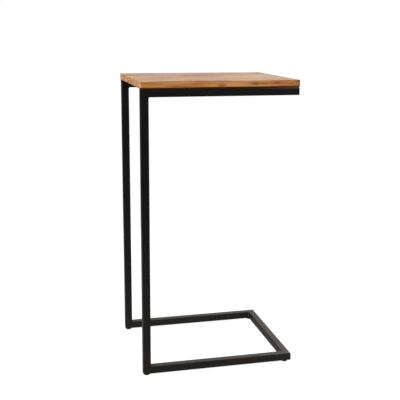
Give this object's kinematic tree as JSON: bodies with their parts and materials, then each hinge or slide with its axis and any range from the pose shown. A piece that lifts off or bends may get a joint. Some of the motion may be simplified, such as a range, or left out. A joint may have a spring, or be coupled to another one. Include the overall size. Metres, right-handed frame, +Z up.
{
  "type": "c shaped side table",
  "caption": "Tall narrow side table, a C from the side: a solid wood top on a black square tube frame whose legs stand at one end, over a flat U base with levelling glides.",
  "frame": {"origin": "on the floor, under the middle of the table's outline", "axes": "+X from the legs to the open end of the C, +Y from the front rails to the back rails, +Z up"},
  "size_m": [0.408, 0.34, 0.76],
  "materials": {
    "oiled_wood": "oiled mango or acacia, satin",
    "black_powder_coat": "black powder coat, fine texture, satin",
    "zinc_plated_steel": "zinc plated",
    "black_nylon": "moulded, matt"
  },
  "bodies": {
    "table": {"top_board_1": "oiled_wood", "top_board_2": "oiled_wood", "top_board_3": "oiled_wood", "top_board_4": "oiled_wood", "front_leg": "black_powder_coat", "back_leg": "black_powder_coat", "front_top_rail": "black_powder_coat", "back_top_rail": "black_powder_coat", "end_top_rail": "black_powder_coat", "front_base_rail": "black_powder_coat", "back_base_rail": "black_powder_coat", "end_base_rail": "black_powder_coat", "front_left_tab": "black_powder_coat", "front_right_tab": "black_powder_coat", "back_left_tab": "black_powder_coat", "back_right_tab": "black_powder_coat", "top_screws": "zinc_plated_steel", "foot_inserts": "zinc_plated_steel"},
    "front_left_pad": {"front_left_glide_pad": "black_nylon"},
    "front_left_stud": {"front_left_glide_stud": "zinc_plated_steel"},
    "front_right_pad": {"front_right_glide_pad": "black_nylon"},
    "front_right_stud": {"front_right_glide_stud": "zinc_plated_steel"},
    "back_left_pad": {"back_left_glide_pad": "black_nylon"},
    "back_left_stud": {"back_left_glide_stud": "zinc_plated_steel"},
    "back_right_pad": {"back_right_glide_pad": "black_nylon"},
    "back_right_stud": {"back_right_glide_stud": "zinc_plated_steel"}
  },
  "joints": [
    {"name": "front_left_travel", "type": "slide", "parent": "table", "child": "front_left_pad", "axis": [0, 0, -1], "range_m": [0, 0.006]},
    {"name": "front_left_turn", "type": "hinge", "parent": "front_left_pad", "child": "front_left_stud", "pos_m": [-0.1925, -0.16, 0.002], "axis": [0, 0, -1], "range_deg": [0, 2160]},
    {"name": "front_right_travel", "type": "slide", "parent": "table", "child": "front_right_pad", "axis": [0, 0, -1], "range_m": [0, 0.006]},
    {"name": "front_right_turn", "type": "hinge", "parent": "front_right_pad", "child": "front_right_stud", "pos_m": [0.1875, -0.16, 0.002], "axis": [0, 0, -1], "range_deg": [0, 2160]},
    {"name": "back_left_travel", "type": "slide", "parent": "table", "child": "back_left_pad", "axis": [0, 0, -1], "range_m": [0, 0.006]},
    {"name": "back_left_turn", "type": "hinge", "parent": "back_left_pad", "child": "back_left_stud", "pos_m": [-0.1925, 0.16, 0.002], "axis": [0, 0, -1], "range_deg": [0, 2160]},
    {"name": "back_right_travel", "type": "slide", "parent": "table", "child": "back_right_pad", "axis": [0, 0, -1], "range_m": [0, 0.006]},
    {"name": "back_right_turn", "type": "hinge", "parent": "back_right_pad", "child": "back_right_stud", "pos_m": [0.1875, 0.16, 0.002], "axis": [0, 0, -1], "range_deg": [0, 2160]}
  ],
  "couplings": [
    {"joint": "front_left_turn", "follows": "front_left_travel", "rad_per_m": 6283.2},
    {"joint": "front_right_turn", "follows": "front_right_travel", "rad_per_m": 6283.2},
    {"joint": "back_left_turn", "follows": "back_left_travel", "rad_per_m": 6283.2},
    {"joint": "back_right_turn", "follows": "back_right_travel", "rad_per_m": 6283.2}
  ]
}
